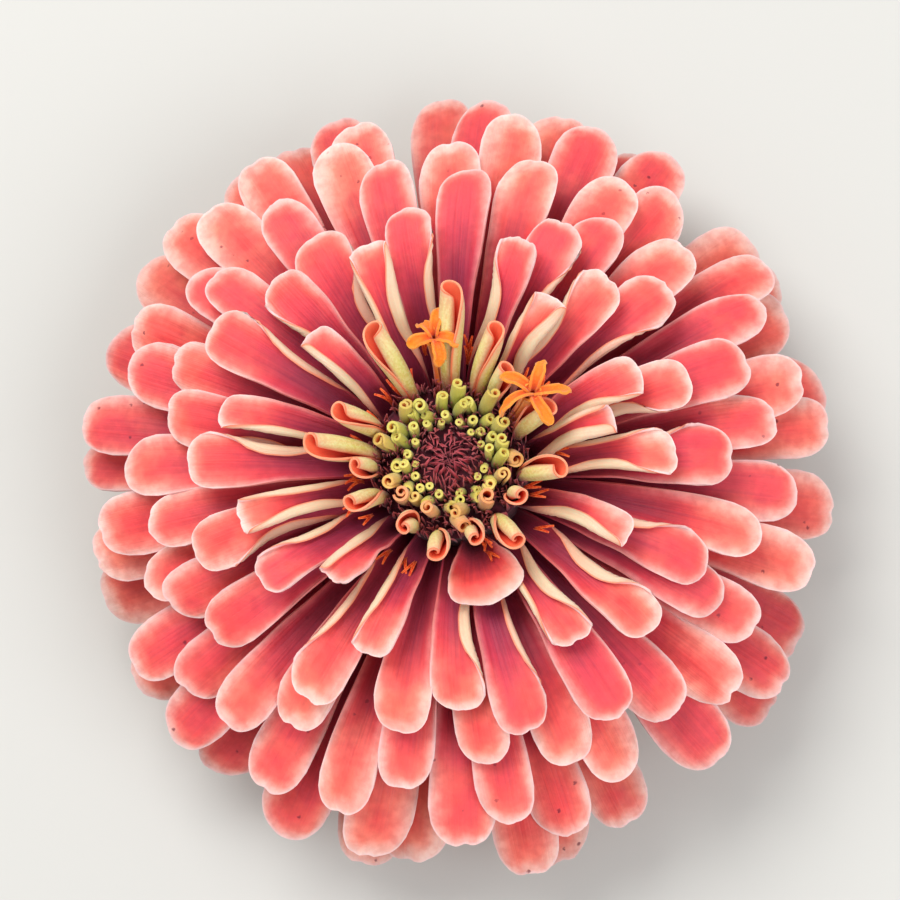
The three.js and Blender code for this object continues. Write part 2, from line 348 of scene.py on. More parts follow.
def mixColour(tree, amount, a, b):
    node = tree.nodes.new("ShaderNodeMix")
    node.data_type = "RGBA"
    sockets = {"amount": node.inputs[0], "a": node.inputs[6], "b": node.inputs[7]}
    for key, value in (("amount", amount), ("a", a), ("b", b)):
        if isinstance(value, (int, float, tuple)):
            sockets[key].default_value = value
        else:
            tree.links.new(value, sockets[key])
    return node.outputs[2]


def ramp(tree, value, stops):
    node = tree.nodes.new("ShaderNodeValToRGB")
    elements = node.color_ramp.elements
    while len(elements) > 1:
        elements.remove(elements[-1])
    elements[0].position, elements[0].color = stops[0][0], tint(stops[0][1])
    for position, code in stops[1:]:
        elements.new(position).color = tint(code)
    tree.links.new(value, node.inputs["Fac"])
    return node.outputs["Color"]


def attributeValue(tree, name):
    node = tree.nodes.new("ShaderNodeAttribute")
    node.attribute_name = name
    return node.outputs["Fac"]


def petalVeins():
    # fine lines from root to tip, the grain of the surface, and two sizes of soft blotches
    group = bpy.data.node_groups.new("petalVeins", "ShaderNodeTree")
    for label, value in (("Count", 26.0), ("Grain", 2600.0)):
        group.interface.new_socket(label, in_out="INPUT", socket_type="NodeSocketFloat").default_value = value
    for label in ("Veins", "Grain", "Clouds", "Mottle"):
        group.interface.new_socket(label, in_out="OUTPUT", socket_type="NodeSocketFloat")
    gIn, gOut = group.nodes.new("NodeGroupInput"), group.nodes.new("NodeGroupOutput")
    uv = group.nodes.new("ShaderNodeUVMap")
    split = group.nodes.new("ShaderNodeSeparateXYZ")
    group.links.new(uv.outputs["UV"], split.inputs[0])
    stretched = group.nodes.new("ShaderNodeCombineXYZ")
    across = mathNode(group, "MULTIPLY", split.outputs["X"], gIn.outputs["Count"])
    group.links.new(across, stretched.inputs["X"])
    group.links.new(mathNode(group, "MULTIPLY", split.outputs["Y"], 1.6), stretched.inputs["Y"])
    group.links.new(mathNode(group, "MULTIPLY", attributeValue(group, "tone"), 37.0), stretched.inputs["Z"])
    where = group.nodes.new("ShaderNodeTexCoord")
    for label, vector, scale, detail in (
        ("Veins", stretched.outputs[0], 1.0, 2.0),
        ("Grain", where.outputs["Object"], gIn.outputs["Grain"], 1.0),
        ("Clouds", where.outputs["Object"], 160.0, 3.0),
        ("Mottle", where.outputs["Object"], 780.0, 3.0),
    ):
        noise = group.nodes.new("ShaderNodeTexNoise")
        noise.inputs["Detail"].default_value = detail
        group.links.new(vector, noise.inputs["Vector"])
        if isinstance(scale, float):
            noise.inputs["Scale"].default_value = scale
        else:
            group.links.new(scale, noise.inputs["Scale"])
        group.links.new(noise.outputs["Fac"], gOut.inputs[label])
    return group


veinGroup = petalVeins()


def newMaterial(name, roughness, sheen=0.0, glow=0.0, glowColour=(1.0, 0.3, 0.2), veinCount=26.0):
    material = bpy.data.materials.new(name)
    material.use_nodes = True
    tree = material.node_tree
    shader = tree.nodes["Principled BSDF"]
    for label, value in (
        ("Roughness", roughness), ("Specular IOR Level", 0.3), ("Sheen Weight", sheen),
        ("Sheen Roughness", 0.5), ("Subsurface Weight", glow), ("Subsurface Radius", glowColour),
        ("Subsurface Scale", 0.0012),
    ):
        shader.inputs[label].default_value = value
    uv = tree.nodes.new("ShaderNodeUVMap")
    split = tree.nodes.new("ShaderNodeSeparateXYZ")
    tree.links.new(uv.outputs["UV"], split.inputs[0])
    veins = tree.nodes.new("ShaderNodeGroup")
    veins.node_tree = veinGroup
    veins.inputs["Count"].default_value = veinCount
    return material, tree, split.outputs["Y"], veins


def finished(material, colour, height, strength, distance):
    tree = material.node_tree
    shader = tree.nodes["Principled BSDF"]
    bump = tree.nodes.new("ShaderNodeBump")
    bump.inputs["Strength"].default_value = strength
    bump.inputs["Distance"].default_value = distance
    tree.links.new(height, bump.inputs["Height"])
    tree.links.new(bump.outputs["Normal"], shader.inputs["Normal"])
    tree.links.new(colour, shader.inputs["Base Color"])
    return material


def veinsOver(tree, veins, grain):
    faint = mathNode(tree, "MULTIPLY", veins.outputs["Grain"], grain)
    return mathNode(tree, "ADD", veins.outputs["Veins"], faint)


def masked(tree, first, *others):
    for other in others:
        first = mathNode(tree, "MULTIPLY", first, other, clamp=True)
    return first


def over(tree, colour, amount, code):
    return mixColour(tree, amount, colour, tint(code))


def aged(tree, lengthwise, amount, young, old):
    return mixColour(tree, amount, ramp(tree, lengthwise, young), ramp(tree, lengthwise, old))


def edged(tree, colour, code, start, full, strength):
    # a band along the margin, from nothing at start mm to its strength at full mm
    return over(tree, colour, mapRange(tree, attributeValue(tree, "rim"), start, full, 0.0, strength), code)


petalColours = {
    # the face ramps darken towards the root: partly the claw's own burgundy, partly painted shade where the
    # petals above cover it
    "faceYoung": [
        (0.0, "6a1830"), (0.14, "882846"), (0.28, "a03450"), (0.42, "b23a50"), (0.56, "ca3c50"),
        (0.7, "e64450"), (0.84, "f84e50"), (1.0, "fc5c56"),
    ],
    # the old, outer petals' ramp is deeper: partly their own colour, partly painted shade, as they lie low
    # under the others
    "faceOld": [
        (0.0, "6a1830"), (0.14, "7c2640"), (0.3, "902e46"), (0.46, "a4324a"), (0.62, "be3848"),
        (0.78, "d84048"), (0.9, "e6484a"), (1.0, "ee5450"),
    ],
    "groove": "7d2444",
    "line": "c0304a",
    "cloud": "ff7a64",
    # pink sides, a peach end and a cream tip, each with its reach from the margin in mm
    "zones": [
        {"colour": "f29c9c", "reach": 1.3, "strength": 0.8, "between": (0.3, 0.8)},
        {"colour": "fd9380", "reach": 4.4, "strength": 0.95, "between": (0.64, 0.94)},
        {"colour": "f7ccc3", "reach": 2.3, "strength": 0.86, "between": (0.72, 1.0)},
    ],
    # the edge line darkens towards the root as the face does, partly painted shade
    "edge": [(0.0, "7a2038"), (0.3, "b83c54"), (0.5, "e06a6c"), (0.75, "f4a09c"), (1.0, "fad0d0")],
    "freckle": "641430",
    # the back ramps darken towards the root: partly the claw's own burgundy, partly painted shade where the
    # claws lie in the crevices
    "backYoung": [
        (0.0, "601230"), (0.2, "96384e"), (0.34, "c47c6e"), (0.48, "dcb896"), (0.64, "e6d2ae"),
        (0.86, "ead0b6"), (1.0, "f2b89a"),
    ],
    "backOld": [
        (0.0, "601230"), (0.25, "86304c"), (0.45, "bc5866"), (0.62, "e8a49c"), (0.85, "f4bcae"),
        (1.0, "f4ac9a"),
    ],
    "backLine": "eaa48c",
    "backFibre": "f0bc9c",
    "backRim": "f47a58",
}


def grooved(tree, colour, lengthwise, crosswise, veins):
    # the burgundy groove over the midrib, broken up into streaks
    aside = mathNode(tree, "ABSOLUTE", mathNode(tree, "SUBTRACT", crosswise, 0.5))
    groove = masked(
        tree, mapRange(tree, aside, 0.02, 0.34, 0.9, 0.0), mapRange(tree, lengthwise, 0.4, 0.95, 1.0, 0.0),
        mapRange(tree, veins.outputs["Veins"], 0.3, 0.65, 1.15, 0.6),
    )
    return over(tree, colour, groove, petalColours["groove"])


def paled(tree, colour, lengthwise, crosswise, veins, age, tone):
    # the margin pales, further in on one side than on the other, and ends in a fine line along the edge
    rim = mathNode(tree, "MULTIPLY", attributeValue(tree, "rim"), mapRange(tree, age, 0.05, 0.5, 1.7, 1.0))
    inwards = mathNode(tree, "MULTIPLY", rim, mapRange(tree, tone, 0.0, 1.0, 1.35, 0.75))
    leaning = mathNode(
        tree, "MULTIPLY", mathNode(tree, "SUBTRACT", crosswise, 0.5), mathNode(tree, "SUBTRACT", tone, 0.5)
    )
    inwards = mathNode(tree, "MULTIPLY", inwards, mapRange(tree, leaning, -0.25, 0.25, 0.5, 1.5))
    uneven = mathNode(
        tree, "MULTIPLY", mapRange(tree, veins.outputs["Clouds"], 0.34, 0.62, 0.6, 1.15),
        mapRange(tree, veins.outputs["Mottle"], 0.3, 0.7, 0.8, 1.15),
    )
    for zone in petalColours["zones"]:
        pale = masked(
            tree, mapRange(tree, inwards, zone["reach"], 0.0, 0.0, zone["strength"]),
            mapRange(tree, lengthwise, *zone["between"]), uneven,
        )
        colour = over(tree, colour, pale, zone["colour"])
    thin = mapRange(tree, rim, 0.55, 0.05, 0.0, 0.8)
    return mixColour(tree, thin, colour, ramp(tree, lengthwise, petalColours["edge"]))


def freckled(tree, colour, veins, age):
    # small dark dots in some of the cells of a pattern, on the older petals only
    cells = tree.nodes.new("ShaderNodeTexVoronoi")
    cells.inputs["Scale"].default_value = 480.0
    where = tree.nodes.new("ShaderNodeTexCoord")
    shaken = tree.nodes.new("ShaderNodeVectorMath")
    shaken.operation = "MULTIPLY_ADD"
    shaken.inputs[1].default_value = (0.0004, 0.0004, 0.0004)
    tree.links.new(veins.outputs["Grain"], shaken.inputs[0])
    tree.links.new(where.outputs["Object"], shaken.inputs[2])
    tree.links.new(shaken.outputs[0], cells.inputs["Vector"])
    picked = tree.nodes.new("ShaderNodeSeparateColor")
    tree.links.new(cells.outputs["Color"], picked.inputs[0])
    dots = masked(
        tree, mapRange(tree, cells.outputs["Distance"], 0.17, 0.07, 0.0, 0.75),
        mapRange(tree, picked.outputs[0], 0.7, 0.72), mapRange(tree, age, 0.3, 0.6),
    )
    return over(tree, colour, dots, petalColours["freckle"])


def petalFace():
    material, tree, lengthwise, veins = newMaterial("petalFace", 0.55, sheen=0.05, glow=0.2)
    crosswise = lengthwise.node.outputs["X"]
    age, tone = attributeValue(tree, "age"), attributeValue(tree, "tone")
    older = mapRange(tree, age, 0.55, 1.25, 0.0, 0.85)
    colour = aged(tree, lengthwise, older, petalColours["faceYoung"], petalColours["faceOld"])
    colour = grooved(tree, colour, lengthwise, crosswise, veins)
    lines = mapRange(tree, veins.outputs["Veins"], 0.35, 0.62, 0.2, 0.0)
    colour = over(tree, colour, lines, petalColours["line"])
    clouds = mapRange(tree, veins.outputs["Clouds"], 0.45, 0.72, 0.0, 0.5)
    clouds = masked(tree, clouds, mapRange(tree, lengthwise, 0.5, 0.9))
    colour = over(tree, colour, clouds, petalColours["cloud"])
    colour = paled(tree, colour, lengthwise, crosswise, veins, age, tone)
    colour = freckled(tree, colour, veins, age)
    # each petal a little lighter or deeper than the next at random, and the old, outer ones deeper: partly
    # their own colour, partly painted shade, as they lie low under the others
    value = mathNode(
        tree, "MULTIPLY", mapRange(tree, tone, 0.0, 1.0, 0.9, 1.04), mapRange(tree, age, 0.55, 1.05, 1.0, 0.74)
    )
    value = mathNode(tree, "MULTIPLY", value, mapRange(tree, veins.outputs["Mottle"], 0.3, 0.7, 0.93, 1.05))
    hue = tree.nodes.new("ShaderNodeHueSaturation")
    tree.links.new(value, hue.inputs["Value"])
    tree.links.new(mapRange(tree, tone, 0.0, 1.0, 0.496, 0.503), hue.inputs["Hue"])
    tree.links.new(colour, hue.inputs["Color"])
    return finished(material, hue.outputs["Color"], veinsOver(tree, veins, 0.25), 0.6, 0.00018)


def petalBack():
    material, tree, lengthwise, veins = newMaterial("petalBack", 0.6, sheen=0.15, glow=0.2)
    older = mapRange(tree, attributeValue(tree, "age"), 0.05, 0.4)
    colour = aged(tree, lengthwise, older, petalColours["backYoung"], petalColours["backOld"])
    lines = mapRange(tree, veins.outputs["Veins"], 0.35, 0.62, 0.25, 0.0)
    colour = over(tree, colour, lines, petalColours["backLine"])
    fibres = masked(
        tree, mapRange(tree, veins.outputs["Grain"], 0.35, 0.6, 0.3, 0.0), mapRange(tree, lengthwise, 0.3, 0.5)
    )
    colour = over(tree, colour, fibres, petalColours["backFibre"])
    rim = attributeValue(tree, "rim")
    thin = masked(tree, mapRange(tree, rim, 0.3, 0.05, 0.0, 0.8), mapRange(tree, lengthwise, 0.25, 0.5))
    colour = over(tree, colour, thin, petalColours["backRim"])
    return finished(material, colour, veinsOver(tree, veins, 0.3), 0.6, 0.00018)


trumpetColours = {
    "face": [(0.0, "7a1c28"), (0.45, "d8423a"), (0.8, "f8664a"), (1.0, "fc8058")],
    "faceRim": "f9a27e",
    "back": [
        (0.0, "8a4034"), (0.18, "b87a4c"), (0.34, "c8b458"), (0.6, "d6cc70"), (0.82, "e6d492"), (1.0, "f0c094"),
    ],
    "backLine": "dc9a6a",
    "fuzz": "f4ecb4",
    "backMargin": "f0b494",
    "backRim": "f2704a",
}


def trumpetBack():
    material, tree, lengthwise, veins = newMaterial("trumpetBack", 0.6, sheen=0.15, glow=0.2, veinCount=18.0)
    colour = ramp(tree, lengthwise, trumpetColours["back"])
    lines = mapRange(tree, veins.outputs["Veins"], 0.38, 0.6, 0.35, 0.0)
    colour = over(tree, colour, lines, trumpetColours["backLine"])
    fuzz = mapRange(tree, veins.outputs["Grain"], 0.42, 0.62, 0.0, 0.3)
    colour = over(tree, colour, fuzz, trumpetColours["fuzz"])
    colour = edged(tree, colour, trumpetColours["backMargin"], 0.9, 0.3, 0.5)
    colour = edged(tree, colour, trumpetColours["backRim"], 0.34, 0.06, 0.9)
    return finished(material, colour, veinsOver(tree, veins, 0.3), 0.6, 0.00018)


def trumpetFace():
    material, tree, lengthwise, veins = newMaterial("trumpetFace", 0.55, glow=0.2, veinCount=18.0)
    colour = ramp(tree, lengthwise, trumpetColours["face"])
    colour = edged(tree, colour, trumpetColours["faceRim"], 0.34, 0.05, 0.8)
    return finished(material, colour, veins.outputs["Veins"], 0.5, 0.00015)


budColours = {
    # inside, the buds darken towards the foot of the tube: painted shade deep in the hole
    "faceYoung": [(0.0, "8a6a10"), (0.6, "d09a1c"), (0.9, "ecc040"), (1.0, "f4e48a")],
    "faceOld": [(0.0, "a8281c"), (0.6, "e2482c"), (0.9, "f87a44"), (1.0, "fcae7c")],
    "faceRim": "e8bc62",
    # the bud backs darken towards the foot: partly their own green, partly painted shade between the crowded
    # buds
    "backYoung": [(0.0, "5e641a"), (0.35, "94982e"), (0.7, "b6b84a"), (1.0, "d6cc5e")],
    "backOld": [(0.0, "9a7c30"), (0.4, "d6b25e"), (0.75, "f0b87c"), (1.0, "f8a67a")],
    "backRims": ("dcd06c", "f09a6c"),
    "cloud": "8c9a2c",
}


def budFace():
    material, tree, lengthwise, veins = newMaterial(
        "budFace", 0.5, glow=0.2, glowColour=(0.9, 0.6, 0.2), veinCount=8.0
    )
    older = mapRange(tree, attributeValue(tree, "age"), 0.35, 0.8)
    colour = aged(tree, lengthwise, older, budColours["faceYoung"], budColours["faceOld"])
    colour = edged(tree, colour, budColours["faceRim"], 0.5, 0.1, 0.85)
    return finished(material, colour, veins.outputs["Grain"], 0.4, 0.0001)


def budBack():
    material, tree, lengthwise, veins = newMaterial(
        "budBack", 0.5, sheen=0.2, glow=0.25, glowColour=(0.7, 0.8, 0.2), veinCount=8.0
    )
    older = mapRange(tree, attributeValue(tree, "age"), 0.5, 0.95)
    colour = aged(tree, lengthwise, older, budColours["backYoung"], budColours["backOld"])
    thin = mapRange(tree, attributeValue(tree, "rim"), 0.3, 0.05, 0.0, 0.85)
    colour = mixColour(tree, thin, colour, mixColour(tree, older, *map(tint, budColours["backRims"])))
    clouds = mapRange(tree, veins.outputs["Clouds"], 0.4, 0.65, 0.22, 0.0)
    colour = over(tree, colour, clouds, budColours["cloud"])
    return finished(material, colour, veins.outputs["Grain"], 0.5, 0.00015)


chaffColours = {
    "blade": [(0.0, "400a14"), (0.35, "88182a"), (0.7, "c43442"), (1.0, "e27274")],
    "rim": "b8485a",
    "middle": "3a0a18",
}


def chaffMaterial():
    material, tree, lengthwise, veins = newMaterial("chaffBract", 0.6, sheen=0.2, glow=0.1, veinCount=6.0)
    colour = ramp(tree, lengthwise, chaffColours["blade"])
    colour = edged(tree, colour, chaffColours["rim"], 0.16, 0.02, 0.7)
    middle = mapRange(tree, attributeValue(tree, "age"), 0.05, 0.3, 0.7, 0.0)
    colour = over(tree, colour, middle, chaffColours["middle"])
    return finished(material, colour, veins.outputs["Veins"], 0.5, 0.0001)


def plainMaterial(name, dark, light, roughness, scale, strength=0.5):
    material, tree, lengthwise, veins = newMaterial(name, roughness, sheen=0.1)
    veins.inputs["Grain"].default_value = scale
    colour = mixColour(tree, mapRange(tree, veins.outputs["Grain"], 0.3, 0.7), tint(dark), tint(light))
    return finished(material, colour, veins.outputs["Grain"], strength, 0.0002)


bractColours = {
    "blade": [(0.0, "455c24"), (0.5, "637e36"), (0.8, "84984a"), (1.0, "9aa45c")],
    "line": "46602a",
    "margin": "3a2014",
}


def bractMaterial():
    material, tree, lengthwise, veins = newMaterial("greenBract", 0.55, glow=0.1, glowColour=(0.3, 0.6, 0.1))
    colour = ramp(tree, lengthwise, bractColours["blade"])
    lines = mapRange(tree, veins.outputs["Veins"], 0.35, 0.62, 0.4, 0.0)
    colour = over(tree, colour, lines, bractColours["line"])
    waver = mapRange(tree, veins.outputs["Clouds"], 0.3, 0.7, -0.15, 0.2)
    rim = mathNode(tree, "ADD", attributeValue(tree, "rim"), waver)
    margin = masked(tree, mapRange(tree, rim, 0.85, 0.4, 0.0, 0.9), mapRange(tree, lengthwise, 0.4, 0.7))
    colour = over(tree, colour, margin, bractColours["margin"])
    return finished(material, colour, veins.outputs["Veins"], 0.6, 0.0002)


starColours = {"lobe": [(0.0, "b83814"), (0.22, "e85a10"), (0.5, "f6780e"), (1.0, "fd9018")], "rim": "fca03a"}


def starMaterial():
    material, tree, lengthwise, veins = newMaterial("discStar", 0.55, sheen=0.3, glow=0.2, veinCount=10.0)
    colour = ramp(tree, lengthwise, starColours["lobe"])
    colour = edged(tree, colour, starColours["rim"], 0.3, 0.03, 0.6)
    return finished(material, colour, veins.outputs["Grain"], 0.7, 0.0002)


petalMaterials = [petalFace(), petalBack()]
print("zinnia: petal materials made")

# open ray florets, in millimetres and degrees, each pair from the innermost petal to the outermost

rays = {
    "count": 120,
    "firstFloret": 17,
    "layers": 6,
    "full": 91,
    "tipRadius": (22.5, 52.6),
    "tipHeight": (40.4, 12.5),
    "rootRadius": (10, 10.2),
    "rootHeight": (26.4, 14.6),
    "rise": (62, 8),
    "droop": (4, -20),
    "width": (6.4, 9.9),
    "longAxis": 98,
    "oval": 0.022,
    "claw": 3.4,
    "swelling": [
        (0, 0), (0.15, 0.08), (0.34, 0.25), (0.5, 0.45), (0.66, 0.72), (0.8, 0.95), (0.88, 1.0), (1, 0.84),
    ],
    "youngSwelling": [
        (0, 0), (0.15, 0.2), (0.34, 0.5), (0.5, 0.76), (0.66, 0.95), (0.8, 1.0), (0.9, 0.96), (1, 0.84),
    ],
    "channel": [(0, 85), (0.2, 78), (0.4, 58), (0.6, 32), (0.8, 6), (1, -24)],
    "youngChannel": [(0, 88), (0.2, 84), (0.4, 72), (0.6, 56), (0.8, 40), (1, 18)],
    "fold": [(0, 0), (0.2, 40), (0.35, 120), (0.5, 156), (0.66, 170), (1, 172)],
    "flap": 0.74,
    "curl": 1.3,
    "narrowing": 0.3,
    "roundness": 1.25,
    "thickness": 0.3,
    # the number of the petal by which each trait of the young ones is gone
    "narrowUntil": 24,
    "closedUntil": 22,
    "bluntUntil": 34,
    "foldedUntil": 42,
    # petals that would cross in plain view are turned a little
    "nudges": {29: -1.6, 39: 0.9, 52: -1.9, 61: 0.8, 74: -1.8},
    "limp": {"ray": 3, "azimuth": 286.5, "tip": (20.2, 36.4), "droop": -30, "width": 11.0, "roundness": 0.9},
}


def youth(k, until):
    return max(0.0, 1 - k / until)


def foldsOf(floret, k):
    # young petals keep one margin folded over the face, or both
    young = youth(k, rays["foldedUntil"])
    if young == 0.0:
        return 0.0, 0.0
    strong = min(1.0, (0.6 + 0.6 * draw(floret, 5)) * young**0.4)
    weak = 0.75 * strong * draw(floret, 6) ** 1.2
    strong, weak = (amount if amount > least else 0.0 for amount, least in ((strong, 0.5), (weak, 0.4)))
    return (strong, weak) if draw(floret, 15) > 0.5 else (weak, strong)


def openRay(blanks, k):
    floret = rays["firstFloret"] + k
    t = k / (rays["count"] - 1)
    azimuth = azimuthOf(floret, 7 - 3 * t) + rays["nudges"].get(k, 0.0)
    reach = min(1, k / rays["full"]) ** 0.62
    oval = 1 + rays["oval"] * math.cos(math.radians(2 * (azimuth - rays["longAxis"])))
    tip = (
        (mix(rays["tipRadius"], reach) + wobble(floret, 2, 2.2 - 1.2 * t)) * oval,
        mix(rays["tipHeight"], t) + wobble(floret, 3, 1),
    )
    root = (mix(rays["rootRadius"], t), mix(rays["rootHeight"], t))
    droop = max(rays["droop"][1], mix(rays["droop"], t * 4))
    young, closed = youth(k, rays["narrowUntil"]), youth(k, rays["closedUntil"])
    left, right = foldsOf(floret, k)
    wide = mix(rays["width"], t) * (1 + wobble(floret, 7, 0.08)) * (1 - rays["narrowing"] * young) / 2
    wide *= 1 + 0.13 * (left + right)
    roundness = rays["roundness"] * (1 - 0.55 * youth(k, rays["bluntUntil"]))
    blank, freedom = blanks[int(draw(floret, 9) * len(blanks))], 1
    limp = rays["limp"]
    if k == limp["ray"]:
        # the limp petal hangs wide open and straight
        azimuth, tip, droop = limp["azimuth"], limp["tip"], limp["droop"]
        wide, roundness = limp["width"] / 2, limp["roundness"]
        left = right = young = closed = 0.0
        blank, freedom = blanks[0], 0
    rib = midrib(azimuth, root, tip, mix(rays["rise"], t), droop, wobble(floret, 4, 1.2))
    claw = rays["claw"] / 2
    curl = rays["curl"] * draw(floret, 18) ** 2 * min(1.0, k / 30)
    drop = roundness * wide * mm / rib["length"]
    unevenness = freedom * wide / 5

    def half(y):
        swelling = mix((through(rays["swelling"], y), through(rays["youngSwelling"], y)), young)
        return claw + (wide - claw) * swelling

    def channel(y):
        return mix((through(rays["channel"], y), through(rays["youngChannel"], y)), young)

    def side(amount):
        # the flap runs out into the margin just below the tip, except where the petal is still closed
        crease = 1 - rays["flap"] * amount
        end = 1 - 0.7 * drop

        def line(y):
            upper = eased(np.clip((y - end + 0.3) / 0.3, 0, 1))
            lower = eased(np.clip((0.56 - y) / 0.3, 0, 1))
            away = np.maximum((1 - 0.85 * closed) * upper, (1 - 0.5 * closed) * lower)
            return crease + (0.95 - crease) * away

        def fold(y):
            fading = 1 - 0.85 * (1 - closed) * np.clip((y - end + 0.2) / 0.24, 0, 1)
            return min(1.0, amount * 3) * through(rays["fold"], y) * fading

        return {"turn": channel, "fold": fold, "crease": line}

    return bentCopy(
        blank, f"ray{k}", rib, azimuth, half, side(left), side(right),
        sink=lambda y: curl * np.clip((y - 0.76) / 0.22, 0, 1.3) ** 2,
        crowd=0.45, tipDrop=drop, ragged=0.02 + 0.1 * draw(floret, 19) ** 2,
        tilt=wobble(floret, 20, 0.5) * unevenness, lopsided=wobble(floret, 21, 0.1) * unevenness,
        roll=wobble(floret, 8, 11) * freedom, twist=wobble(floret, 12, 12) * freedom,
        wave=0.12 + 0.3 * draw(floret, 10), phase=draw(floret, 11) * 6.28, waves=7 + 5 * draw(floret, 13),
        age=t, tone=draw(floret, 14),
    )


rayBlanks = [
    floretBlank("rayBlankRound", 26, 32, 0.25, pleats=0.1, power=1.95),
    floretBlank("rayBlankNotched", 26, 32, 0.25, notch=0.022, pleats=0.13, power=2.15),
    floretBlank("rayBlankBlunt", 26, 32, 0.25, notch=0.01, pleats=0.12, power=2.4),
]
perLayer = rays["count"] // rays["layers"]
for layer in range(rays["layers"]):
    florets = [openRay(rayBlanks, k) for k in range(layer * perLayer, (layer + 1) * perLayer)]
    whorl = joined(florets, f"rayFlorets{layer + 1}", rays["thickness"], petalMaterials)
    settle(whorl, "petals", "ray_florets")
print("zinnia: open ray florets")

# young ray florets, rolled into trumpets, with the open disc florets in two of their places

trumpets = {
    "count": 17,
    "opened": (13, 3),
    "tipRadius": (11.8, 18),
    "tipHeight": (40.5, 43.4),
    "lopsided": 0.18,
    "rootRadius": 9.7,
    "rootHeight": 31.4,
    "tube": (0.76, 1.04),
    "girth": [(0, 0.55), (0.25, 0.8), (0.5, 1.05), (0.75, 1.12), (1, 0.98)],
    "over": [(0, 190), (0.3, 212), (0.55, 236), (0.8, 275), (1, 330)],
    "under": [(0, 180), (0.3, 176), (0.5, 164), (0.72, 138), (0.88, 126), (1, 138)],
    "thickness": 0.28,
}


def trumpet(blank, floret):
    t = floret / (trumpets["count"] - 1)
    azimuth = azimuthOf(floret, 7)
    upper = 1 + trumpets["lopsided"] * math.sin(math.radians(azimuth))
    tip = (mix(trumpets["tipRadius"], t) * upper, mix(trumpets["tipHeight"], t))
    rib = midrib(azimuth, (trumpets["rootRadius"], trumpets["rootHeight"]), tip, 80, 50)
    tube = mix(trumpets["tube"], t) * (1 + wobble(floret, 5, 0.1))
    half = tube * math.radians(205)
    lower = max(0.0, -math.sin(math.radians(azimuth)))
    sides = [
        {"turn": along(trumpets["over"], 1 + wobble(floret, 6, 0.08) + 0.35 * lower), "late": 0.3},
        {"turn": along(trumpets["under"], 1 + wobble(floret, 16, 0.1) + 0.3 * lower)},
    ]
    if draw(floret, 7) > 0.5:
        sides.reverse()
    return bentCopy(
        blank, f"trumpet{floret}", rib, azimuth, along(trumpets["girth"], half), *sides,
        sink=along(trumpets["girth"], tube),
        roll=wobble(floret, 8, 30), twist=wobble(floret, 12, 45),
        age=0.02 + 0.12 * t, tone=draw(floret, 14),
    )


trumpetBlank = floretBlank("trumpetBlank", 22, 20, 0.2, power=2.0)
florets = [trumpet(trumpetBlank, n) for n in range(trumpets["count"]) if n not in trumpets["opened"]]
youngFlorets = joined(florets, "youngRayFlorets", trumpets["thickness"], [trumpetFace(), trumpetBack()])
settle(youngFlorets, "young_florets", "inner_florets")
print("zinnia: trumpets")

# bud florets over the disc

disc = {"top": 34.2, "edge": 32.0, "inner": 3.5, "outer": 10.7}
buds = {
    "count": 56,
    "drawsFrom": 1000,
    "sunk": 1.2,
    "rootRadius": (4.1, 7.5),
    "lean": (0.1, 1.3),
    "radius": (0.4, 0.92),
    "height": (2.2, 6.0),
    "girth": [(0, 0.8), (0.5, 1.06), (0.85, 1.04), (1, 0.94)],
    "thickness": 0.34,
}


def bud(blank, j):
    t = (j / (buds["count"] - 1)) ** 1.1
    floret = buds["drawsFrom"] + j
    azimuth = spiral["phase"] + spiral["step"] * j + wobble(floret, 1, 2)
    radius = mix(buds["rootRadius"], t) + 0.25
    height = mix(buds["height"], t) * (1 + wobble(floret, 2, 0.2))
    foot = mix((disc["top"], disc["edge"]), t * 0.6) - buds["sunk"]
    lean = mix(buds["lean"], t)
    outer = radius + lean + wobble(floret, 15, 0.2 + 0.9 * t)
    rib = curveThrough(
        place(azimuth, radius, foot),
        place(azimuth, radius + lean * 0.2, foot + (buds["sunk"] + height) * 0.6, wobble(floret, 3, 0.3)),
        place(azimuth, outer, foot + buds["sunk"] + height, wobble(floret, 4, 0.6 + 0.8 * t)),
    )
    lower = 0.5 - 0.5 * math.sin(math.radians(azimuth))
    tube = mix(buds["radius"], t) * (1 + 0.14 * (lower - 0.5) * t + wobble(floret, 16, 0.08)) - 0.26
    half = tube * math.radians(215)
    more = 70 + 190 * draw(floret, 6) ** 1.5 * (0.3 + 0.7 * t)
    sides = [{"turn": evenly(200)}, {"turn": evenly(215 + more), "late": more / (215 + more)}]
    if draw(floret, 7) > 0.5:
        sides.reverse()
    return bentCopy(
        blank, f"bud{j}", rib, azimuth, along(buds["girth"], half), *sides,
        sink=along(buds["girth"], tube),
        roll=draw(floret, 8) * 360, twist=wobble(floret, 12, 40),
        age=t * (0.6 + 0.5 * lower), tone=draw(floret, 14),
    )


budBlank = floretBlank("budBlank", 16, 7, 0.1, power=2.0)
florets = [bud(budBlank, j) for j in range(buds["count"])]
budFlorets = joined(florets, "budFlorets", buds["thickness"], [budFace(), budBack()], rimOnBack=True)
settle(budFlorets, "young_florets", "inner_florets")
print("zinnia: bud florets")

# chaff, the pointed bracts between the florets of the disc

chaff = {
    "count": 900,
    "drawsFrom": 2000,
    "reach": 10.6,
    "width": (0.13, 0.3),
    "length": (2.6, 4.2),
    "taper": [(0, 1.0), (0.4, 1.0), (0.75, 0.7), (1, 0.08)],
    "thickness": 0.07,
}


def discHeight(radius):
    across, up = [0, disc["inner"], disc["outer"]], [disc["top"] - 0.9, disc["top"], disc["edge"]]
    return float(np.interp(radius, across, up))


